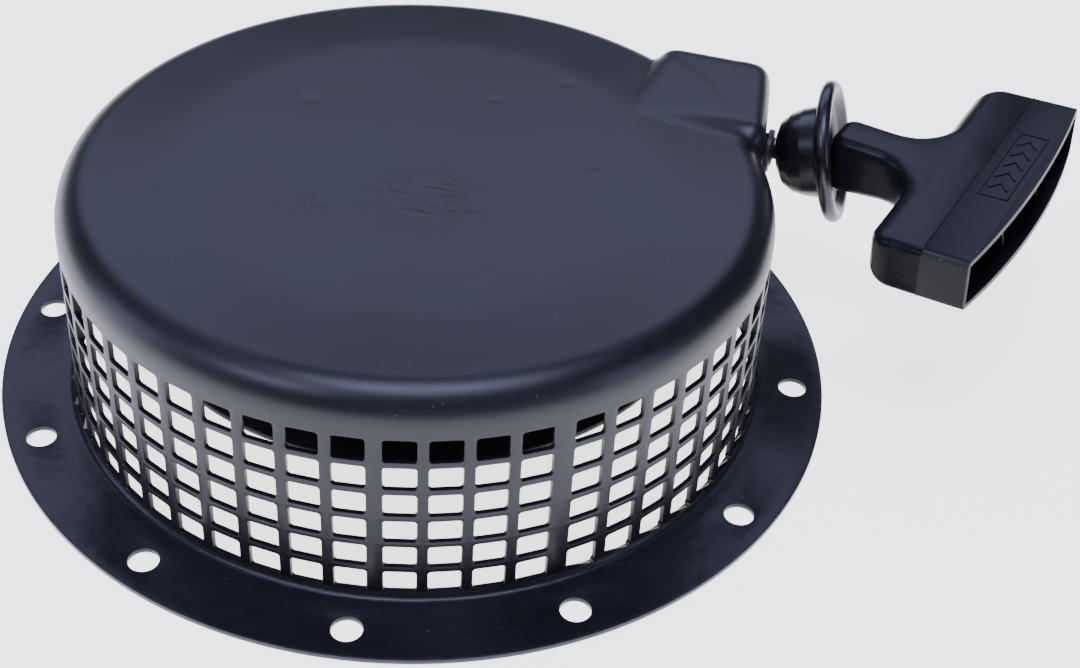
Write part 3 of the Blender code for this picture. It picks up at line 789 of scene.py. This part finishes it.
def coil_point(turns, radius=coil_r):
    angle = leaves + math.tau * turns
    height = max(rope_z - coil_rise * turns, coil_foot)
    return drum + Vector((radius * math.cos(angle), radius * math.sin(angle), height))


coil = [coil_point(i / 72) for i in range(coil_turns * 72 + 1)]
ends = ((0.4, 79.2), (1.4, 78.4), (2.6, 77.0), (3.5, 75.0), (4.2, 72.4), (4.5, 69.6))
coil += [coil_point(coil_turns + ahead / 360, radius * mm) for ahead, radius in ends]
coil_bm = rope_piece("rope_coil", coil, rope_r)
make_piece("rope_on_reel", coil_bm, "reel", braid("rope_braid_coil", 210), ["rope_coil"], 180)

rope_start = Vector((drum.x + 8 * mm, rope_y, rope_z))
rope_exit = Vector((drum.x + 98 * mm, rope_y, rope_z))
pivot = Vector((drum.x + 120.2 * mm, rope_y, 57 * mm))
bumper_tilt = math.radians(14)
bumper_along = Vector((math.cos(bumper_tilt), 0, math.sin(bumper_tilt)))
route = [rope_start.lerp(rope_exit, i / 18) for i in range(19)]
bend_from, bend_to = rope_exit, pivot - bumper_along * 18 * mm
for i in range(1, 5):
    route.append(bend_from.lerp(bend_to, i / 5))
route += [bend_to.lerp(pivot - bumper_along * 1.6 * mm, i / 6) for i in range(7)]
run_rope = rope_piece("run", route, rope_r)
run_piece = make_piece("rope_to_grip", run_rope, None, braid("rope_braid_run", 18), ["rope_run"], 180)
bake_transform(run_piece)


def knot_line(size, place):
    """A stopper knot: the rope crosses itself three times and closes on itself."""
    line = []
    for i in range(90):
        t = math.tau * i / 90
        across = math.sin(t) + 2 * math.sin(2 * t)
        along = math.cos(t) - 2 * math.cos(2 * t)
        point = Vector((across, along, -1.3 * math.sin(3 * t)))
        line.append(place @ (point * size))
    return line


anchor_low, anchor_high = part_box("rope_anchor_knot")
anchor = Matrix.Translation((anchor_low + anchor_high) / 2) @ Matrix.Rotation(math.pi / 2, 4, "X")
knot_braid = braid("rope_braid_knot", 14)
knot_bm = rope_piece("anchor_knot", knot_line(0.85 * mm, anchor), 1.9 * mm, 4, True)
make_piece("reel_knot", knot_bm, "reel", knot_braid, ["rope_anchor_knot"], 180)

# ---------------------------------------------------------------------------
# Pawls, their pins and hair springs. Two plated steel dogs swing on pins in the reel's web
# and catch the engine's cup when the rope is pulled.
# ---------------------------------------------------------------------------

pin_r = 34 * mm
pawl_angles = (20, 200)
pawl_foot, pawl_top = 43.5 * mm, 48.6 * mm
pawl_line = arc((0, 0), 5.5, 180, 360, 20)
pawl_line += [(5.5, 12), (6.2, 17), (7.5, 21), (6.6, 23.2), (4.5, 24), (-1, 22.5), (-3.4, 18.6), (-5, 14)]


def flat_piece(outline, foot, top, place, width=0.5 * mm):
    """A stamping: an outline in millimetres raised to its thickness, with its edges eased."""
    bm = bmesh.new()
    edge = [bm.verts.new((x * mm, y * mm, foot)) for x, y in outline]
    face = bm.faces.new(edge)
    raised = bmesh.ops.extrude_face_region(bm, geom=[face])["geom"]
    lifted = [v for v in raised if isinstance(v, bmesh.types.BMVert)]
    bmesh.ops.translate(bm, verts=lifted, vec=(0, 0, top - foot))
    recalculate(bm)
    bevel_sharp(bm, 60, width, 2)
    bmesh.ops.transform(bm, matrix=place, verts=bm.verts)
    return bm


for number, angle in zip("12", pawl_angles):
    place = on_drum(angle, pin_r)
    pawl_bm = flat_piece(pawl_line, pawl_foot, pawl_top, place)
    peg = turned(rounded(in_mm((0, 44), (1.6, 44), (1.6, 38.6), (0, 38.6)), 0.3 * mm, 3), 24, False)
    bmesh.ops.transform(peg, matrix=place @ Matrix.Translation((0, 15 * mm, 0)), verts=peg.verts)
    take_in(pawl_bm, peg)
    make_piece("starter_pawl_" + number, pawl_bm, "pawl_" + number, zinc, ["pawl_" + number])
    head = rounded(in_mm((0, 49.7), (2.5, 49.7), (2.5, 43.2), (4.2, 43.2), (4.2, 42), (0, 42)), 0.35 * mm, 3)
    pin_bm = turned(head, 40, False, place)
    make_piece("pawl_rivet_" + number, pin_bm, "reel", zinc, ["pawl_pin_" + number])

# ---------------------------------------------------------------------------
# Friction plate and its screw. A two-armed stamping held back by a spring, so that its slots
# start to push the pawls out. A flanged sleeve, washer and hexagon screw close the stack.
# ---------------------------------------------------------------------------

dress("friction_plate", zinc)
washer_profile = rounded(in_mm((12, 33), (12, 31.4), (2.9, 31.4), (2.9, 33)), 0.3 * mm, 3, True)
washer_bm = turned(washer_profile, 64, True, on_drum())
make_piece("stack_washer", washer_bm, "housing", zinc, ["screw_washer"])
dress("spacer_sleeve", spindle_steel)
hexagon = [(6.3 * math.cos(math.tau * i / 6), 6.3 * math.sin(math.tau * i / 6)) for i in range(6)]
screw_bm = flat_piece(hexagon, 26.4 * mm, 31.1 * mm, on_drum(), 0.4 * mm)
shank = turned(rounded(in_mm((0, 31), (2.5, 31), (2.5, 55), (0, 55)), 0.3 * mm, 2), 32, False, on_drum())
take_in(screw_bm, shank)
make_piece("stack_screw", screw_bm, "housing", zinc, ["centre_screw"])

# ---------------------------------------------------------------------------
# Bumper. Moulded rubber, threaded on the rope: a bulb that seats in the hood's eyelet and a
# dished disc that meets the grip.
# ---------------------------------------------------------------------------

rubber = new_material("moulded_rubber", (0.016, 0.016, 0.019), 0.0, 0.34)
here = places(rubber)
bloom = noise(rubber, here, 70, 4)
tint(rubber, bloom, 0.35, 0.7, (0.007, 0.007, 0.008), (0.013, 0.012, 0.015))
drive(rubber, "Roughness", remap(rubber, bloom, 0.3, 0.7, 0.24, 0.34))
drive(rubber, "Normal", bump(rubber, noise(rubber, here, 1100, 2), 0.02 * mm, 0.4))

bumper_line = in_mm(
    (3.2, -18.3), (6.7, -18.3), (10.8, -16.6), (13.3, -13.4), (14.8, -9), (15.6, -3.6), (16.6, -2.4),
    (22.6, -2.3), (23.9, -0.8), (23.9, 1.2), (22.6, 2.6), (20.3, 2.6), (17.5, -0.2), (14.4, -1.4),
    (13, -4.8), (3.2, -4.8),
)
bumper_place = Matrix.Translation(pivot) @ Matrix.Rotation(math.pi / 2 - bumper_tilt, 4, "Y")
bumper_bm = turned(rounded(bumper_line, 2.2 * mm, 5, True), 120, True, bumper_place)
make_piece("rubber_bumper", bumper_bm, "bumper", rubber, ["bumper"], 60)

# ---------------------------------------------------------------------------
# Grip. A T-shaped nylon moulding, solid behind and open in front with two ribs between its
# thin walls. A parting line runs round it, and a framed row of chevrons stands on its top.
# ---------------------------------------------------------------------------

grip_place = (
    Matrix.Translation(pivot)
    @ Matrix.Rotation(math.radians(-16.6), 4, "Z")
    @ Matrix.Rotation(math.radians(-4.5), 4, "Y")
    @ Matrix.Rotation(math.radians(2), 4, "X")
)
bar_half = 52.25 * mm
bar_height = 18 * mm
bar_rear = 33 * mm
bar_front = 66.3 * mm
bar_bow = 5 * mm
top_bow_less = 1.6 * mm
neck_half = 8.5 * mm
neck_start = 1.2 * mm
neck_taller = 1.2
neck_fillet = 14 * mm
nose_corner = 5 * mm
bar_corner = 9 * mm
grip_wall = 1.9 * mm
rib_y = 16 * mm
rib_thick = 1.6 * mm
rib_set_back = 7 * mm
pocket_x = bar_rear + 5.5 * mm
parting_x = 51.5 * mm
widest_edge = 6 * mm


def grip_outline():
    """Half plans of nose, neck, fillet and bar, joined by the bowed front."""
    side = arc((neck_start + nose_corner, neck_half - nose_corner), nose_corner, 180, 90, 4)
    side += arc((bar_rear - neck_fillet, neck_half + neck_fillet), neck_fillet, 270, 360, 14)
    side += arc((bar_rear + bar_corner, bar_half - bar_corner), bar_corner, 180, 90, 10)
    side.append((parting_x, bar_half))
    bow_r = (bar_half * bar_half + bar_bow * bar_bow) / (2 * bar_bow)
    spread = math.degrees(math.asin(bar_half / bow_r))
    front = arc((bar_front + bar_bow - bow_r, 0), bow_r, spread, -spread, 40)
    return side + front + [(x, -y) for x, y in reversed(side)]


def edge_weight(place):
    """How much of the widest rounding an edge gets: full behind, slight in front."""
    x, y = place.x, abs(place.y)
    behind = min(1.0, max(0.0, (bar_half - y) / bar_corner))
    if x > bar_front - mm and y < bar_half - 0.5 * mm:
        return 0.04
    if y < neck_half + mm:
        return 0.62
    if y > bar_half - bar_corner:
        return 0.5 + 0.5 * behind
    return 0.62 + 0.38 * min(1.0, (y - neck_half) / neck_fillet)


def open_pocket(bm, low, high):
    """Presses one pocket into the front face, between low and high across the bar."""
    reach = bar_height / 2 - grip_wall

    def front_faces():
        return [f for f in bm.faces if f.normal.x > 0.7 and f.calc_center_median().x > bar_front - 3 * mm]

    across, upright = (0, 1, 0), (0, 0, 1)
    sides = [((0, low, 0), across), ((0, high, 0), across)]
    for co, no in sides + [((0, 0, -reach), upright), ((0, 0, reach), upright)]:
        faces = front_faces()
        geom = list({v for f in faces for v in f.verts}) + list({e for f in faces for e in f.edges}) + faces
        bmesh.ops.bisect_plane(bm, geom=geom, dist=0.001 * mm, plane_co=co, plane_no=no)
    mouth = []
    for face in front_faces():
        centre = face.calc_center_median()
        if low < centre.y < high and abs(centre.z) < reach:
            mouth.append(face)
    floor = bmesh.ops.extrude_face_region(bm, geom=mouth)["geom"]
    bmesh.ops.delete(bm, geom=mouth, context="FACES")
    for vert in (v for v in floor if isinstance(v, bmesh.types.BMVert)):
        vert.co.x = pocket_x
        vert.co.y *= 0.985


def raised_bar(bm, start, end, width, top):
    """One straight raised stroke on the grip's top, with eased edges."""
    run = Vector(end) - Vector(start)
    middle = (Vector(start) + Vector(end)) / 2
    stroke = bmesh.new()
    size = Matrix.Diagonal((run.length + width, width, 0.7 * mm, 1))
    place = Matrix.Translation((middle.x, middle.y, top)) @ Matrix.Rotation(math.atan2(run.y, run.x), 4, "Z")
    bmesh.ops.create_cube(stroke, size=1, matrix=place @ size)
    bevel_sharp(stroke, 60, 0.15 * mm, 1)
    take_in(bm, stroke)


grip_bm = bmesh.new()
outline = grip_outline()
foot_face = grip_bm.faces.new([grip_bm.verts.new((x, y, -bar_height / 2)) for x, y in outline])
lifted = bmesh.ops.extrude_face_region(grip_bm, geom=[foot_face])["geom"]
lifted_verts = [v for v in lifted if isinstance(v, bmesh.types.BMVert)]
bmesh.ops.translate(grip_bm, verts=lifted_verts, vec=(0, 0, bar_height))
recalculate(grip_bm)
inside = bar_half - grip_wall
open_pocket(grip_bm, -inside, inside)
for vert in grip_bm.verts:
    share = max(0.0, 1 - (vert.co.y / bar_half) ** 2)
    if vert.co.x > bar_front - mm:
        vert.co.x -= top_bow_less * share * (vert.co.z / bar_height + 0.5)
recalculate(grip_bm)
weights = grip_bm.edges.layers.float.new("bevel_weight_edge")
for edge in grip_bm.edges:
    ends = [v.co for v in edge.verts]
    level = all(abs(abs(p.z) - bar_height / 2) < 0.01 * mm for p in ends) and abs(ends[0].z - ends[1].z) < mm
    if level and len(edge.link_faces) == 2 and edge.calc_face_angle() > 1:
        edge[weights] = edge_weight((ends[0] + ends[1]) / 2)
grip_mesh = bpy.data.meshes.new("grip_block")
grip_bm.to_mesh(grip_mesh)
block = bpy.data.objects.new("grip_block", grip_mesh)
bpy.context.scene.collection.objects.link(block)
easing = block.modifiers.new("easing", "BEVEL")
easing.limit_method = "WEIGHT"
easing.width = widest_edge
easing.segments = 6
easing.use_clamp_overlap = False
grip_bm.clear()
grip_bm.from_mesh(evaluated_mesh(block))
bpy.data.objects.remove(block)
recalculate(grip_bm)
for offset in (-0.3 * mm, 0, 0.3 * mm):
    everything = grip_bm.verts[:] + grip_bm.edges[:] + grip_bm.faces[:]
    cut = (parting_x + offset, 0, 0)
    bmesh.ops.bisect_plane(grip_bm, geom=everything, dist=0.001 * mm, plane_co=cut, plane_no=(1, 0, 0))
grip_bm.normal_update()
for vert in grip_bm.verts:
    skin = abs(vert.co.z) > bar_height / 2 - 5 * mm or abs(vert.co.y) > bar_half - 0.1 * mm
    outward = vert.normal.z * vert.co.z > 0 or vert.normal.y * vert.co.y > 0
    outer = abs(vert.co.z) > bar_height / 2 - 0.01 * mm or abs(vert.co.y) > bar_half - 0.01 * mm
    outer = outer or abs(vert.co.y) > inside + 0.05 * mm
    if abs(vert.co.x - parting_x) < 0.01 * mm and skin and outward and outer:
        vert.co += vert.normal * 0.2 * mm
for vert in grip_bm.verts:
    share = min(1.0, max(0.0, (bar_rear - 6 * mm - vert.co.x) / (bar_rear - 6 * mm)))
    vert.co.z *= 1 + (neck_taller - 1) * share
for y in (-rib_y, rib_y):
    rib = bmesh.new()
    reach = bar_front + bar_bow * (1 - (y / bar_half) ** 2) - rib_set_back - pocket_x
    low = Matrix.Translation((pocket_x + reach / 2 - mm, y, 0))
    rib_size = Matrix.Diagonal((reach + 2 * mm, rib_thick, bar_height - 2 * mm, 1))
    bmesh.ops.create_cube(rib, size=1, matrix=low @ rib_size)
    for vert in rib.verts:
        vert.co.x += 3 * mm if vert.co.x > pocket_x + mm and vert.co.z < 0 else 0
    bevel_sharp(rib, 60, 0.3 * mm, 2)
    take_in(grip_bm, rib)
frame_low, frame_high = Vector((55.2 * mm, -14 * mm)), Vector((64.6 * mm, 26.5 * mm))
top = bar_height / 2
corners = [
    (frame_low.x, frame_low.y),
    (frame_high.x, frame_low.y),
    (frame_high.x, frame_high.y),
    (frame_low.x, frame_high.y),
]
for start, end in zip(corners, corners[1:] + corners[:1]):
    raised_bar(grip_bm, start, end, 0.6 * mm, top)
for i in range(5):
    tip = frame_low.y + 8.6 * mm + i * 7 * mm
    middle_x = (frame_low.x + frame_high.x) / 2
    for side in (-1, 1):
        raised_bar(grip_bm, (middle_x + side * 2.9 * mm, tip - 3.6 * mm), (middle_x, tip), 0.9 * mm, top)

nylon_grip = new_material("grip_nylon", (0.008, 0.008, 0.010), 0.0, 0.3)
nylon_grip.node_tree.nodes["Principled BSDF"].inputs["IOR"].default_value = 1.4
nylon_grip.node_tree.nodes["Principled BSDF"].inputs["Specular IOR Level"].default_value = 0.25
front_share = grip_bm.verts.layers.float.new("front")
end_share = grip_bm.verts.layers.float.new("end")
for vert in grip_bm.verts:
    vert[front_share] = 1.0 if vert.co.x > parting_x else 0.0
    vert[end_share] = 1.0 if abs(vert.co.y) > bar_half - 0.5 * mm else 0.0
bmesh.ops.transform(grip_bm, matrix=grip_place, verts=grip_bm.verts)
here = places(nylon_grip)
swirl = noise(nylon_grip, here, 45, 4)
grain = noise(nylon_grip, here, 1500, 2)
dust = remap(nylon_grip, noise(nylon_grip, here, 700, 1), 0.77, 0.82)
front = add_node(nylon_grip, "Attribute", {}, attribute_name="front").outputs["Fac"]
end = add_node(nylon_grip, "Attribute", {}, attribute_name="end").outputs["Fac"]
matt_end = combine(nylon_grip, "MULTIPLY", front, end)
tone = blend_color(
    nylon_grip, remap(nylon_grip, swirl, 0.3, 0.7), (0.006, 0.006, 0.008), (0.010, 0.010, 0.013)
)
tone = blend_color(nylon_grip, matt_end, tone, (0.022, 0.022, 0.022))
tone = blend_color(nylon_grip, combine(nylon_grip, "MULTIPLY", dust, 0.5), tone, (0.2, 0.2, 0.22))
drive(nylon_grip, "Base Color", tone)
gloss = remap(nylon_grip, swirl, 0.25, 0.75, 0.26, 0.34)
gloss = combine(nylon_grip, "ADD", gloss, combine(nylon_grip, "MULTIPLY", front, 0.08))
gloss = combine(nylon_grip, "ADD", gloss, combine(nylon_grip, "MULTIPLY", matt_end, 0.35))
drive(nylon_grip, "Roughness", gloss)
drive(nylon_grip, "Normal", bump(nylon_grip, grain, 0.02 * mm, 0.4))
make_piece("pull_grip", grip_bm, "handle", nylon_grip, ["handle"], 34)

# ---------------------------------------------------------------------------
# Inside the grip. The rope comes through the neck's bore and a plated washer, and ends in a
# stopper knot that can't pull back through.
# ---------------------------------------------------------------------------

inner_rope = [grip_place @ Vector((x * mm, 0, 0)) for x in (1.5, 8, 15, 22, 29, 36, 44)]
inner_piece = rope_piece("inner", inner_rope, rope_r)
inner_braid = braid("rope_braid_grip", 6)
make_piece("rope_in_grip", inner_piece, "handle", inner_braid, ["handle_rope"], 180)
knot_place = grip_place @ Matrix.Translation((49.4 * mm, 0, 0)) @ Matrix.Rotation(math.pi / 2, 4, "Y")
knot_piece = rope_piece("knot", knot_line(1.18 * mm, knot_place), 2.0 * mm, 4, True)
make_piece("grip_knot", knot_piece, "handle", knot_braid, ["handle_knot"], 180)
washer_line = rounded(in_mm((2.9, 43.4), (5.9, 43.4), (5.9, 42), (2.9, 42)), 0.3 * mm, 3, True)
grip_washer = turned(washer_line, 48, True, grip_place @ Matrix.Rotation(math.pi / 2, 4, "Y"))
make_piece("knot_washer", grip_washer, "handle", zinc, ["handle_washer"])

# ---------------------------------------------------------------------------
# Studio. A pale floor, broad soft lights behind and above, and smaller ones in front and at
# both sides.
# ---------------------------------------------------------------------------

floor_bm = bmesh.new()
bmesh.ops.create_grid(floor_bm, x_segments=1, y_segments=1, size=4)
floor_mesh = bpy.data.meshes.new("floor")
floor_bm.to_mesh(floor_mesh)
floor_bm.free()
floor = bpy.data.objects.new("floor", floor_mesh)
floor.location.z = -0.4 * mm
bpy.context.scene.collection.objects.link(floor)
paper = new_material("white_paper", (0.9, 0.9, 0.9), 0.0, 0.9)
drive(paper, "Base Color", remap(paper, noise(paper, places(paper), 3, 2), 0.0, 1.0, 0.88, 0.92))
paper_shader = paper.node_tree.nodes["Principled BSDF"]
paper_shader.inputs["Emission Color"].default_value = (1, 1, 1, 1)
paper_shader.inputs["Emission Strength"].default_value = 2.4
floor_mesh.materials.append(paper)


def softbox(name, place, aim, width, height, power, color=(1, 1, 1)):
    lamp = bpy.data.lights.new(name, "AREA")
    lamp.shape = "RECTANGLE"
    lamp.size = width
    lamp.size_y = height
    lamp.energy = power
    lamp.color = color
    box = bpy.data.objects.new(name, lamp)
    bpy.context.scene.collection.objects.link(box)
    box.location = place
    box.rotation_euler = (Vector(aim) - Vector(place)).to_track_quat("-Z", "Y").to_euler()


cool = (0.62, 0.65, 1.0)
softbox("back_softbox", (-0.3, 0.84, 0.92), (drum.x, 0, 0.05), 1.6, 0.72, 8.5, cool)
softbox("top_softbox", (0.05, -0.22, 1.2), (drum.x, 0, 0.05), 0.75, 0.5, 14, cool)
softbox("front_softbox", (-0.5, -0.75, 0.95), (drum.x, 0, 0.05), 0.4, 0.3, 5, cool)
softbox("left_softbox", (-1.1, -0.35, 0.35), (drum.x, 0, 0.04), 0.35, 0.6, 3, cool)
softbox("right_softbox", (1.15, -0.25, 0.4), (drum.x, 0, 0.04), 0.35, 0.6, 2.5, cool)
world = bpy.data.worlds.new("studio")
world.use_nodes = True
world.node_tree.nodes["Background"].inputs["Color"].default_value = (0.85, 0.88, 1, 1)
world.node_tree.nodes["Background"].inputs["Strength"].default_value = 0.1
bpy.context.scene.world = world

# ---------------------------------------------------------------------------
# Camera. It looks down on the crown from in front, turned a little towards the grip.
# ---------------------------------------------------------------------------

camera_turn = math.radians(18)
camera_rise = math.radians(39.571)
camera_away = 4.2033 * flange_r
aside, tipped, rolled = math.radians(-4.097), math.radians(-0.600), math.radians(0.442)
focal_share = 1682.5 / 1080
back = Vector((0, -math.cos(camera_rise), math.sin(camera_rise)))
sight = -back
above = Vector((1, 0, 0)).cross(sight)
axes = Matrix(((1, 0, 0), -above, sight))
trim = Matrix.Rotation(rolled, 3, "Z") @ Matrix.Rotation(aside, 3, "Y") @ Matrix.Rotation(tipped, 3, "X")
axes = trim @ axes
spun = Matrix.Rotation(camera_turn, 3, "Z")
facing = (spun @ Matrix((axes[0], -axes[1], -axes[2])).transposed()).to_4x4()
lens = bpy.data.cameras.new("camera")
lens.sensor_width = 36
lens.lens = focal_share * lens.sensor_width
camera = bpy.data.objects.new("camera", lens)
camera.matrix_world = Matrix.Translation(spun @ back * camera_away + drum) @ facing
bpy.context.scene.collection.objects.link(camera)
bpy.context.scene.camera = camera
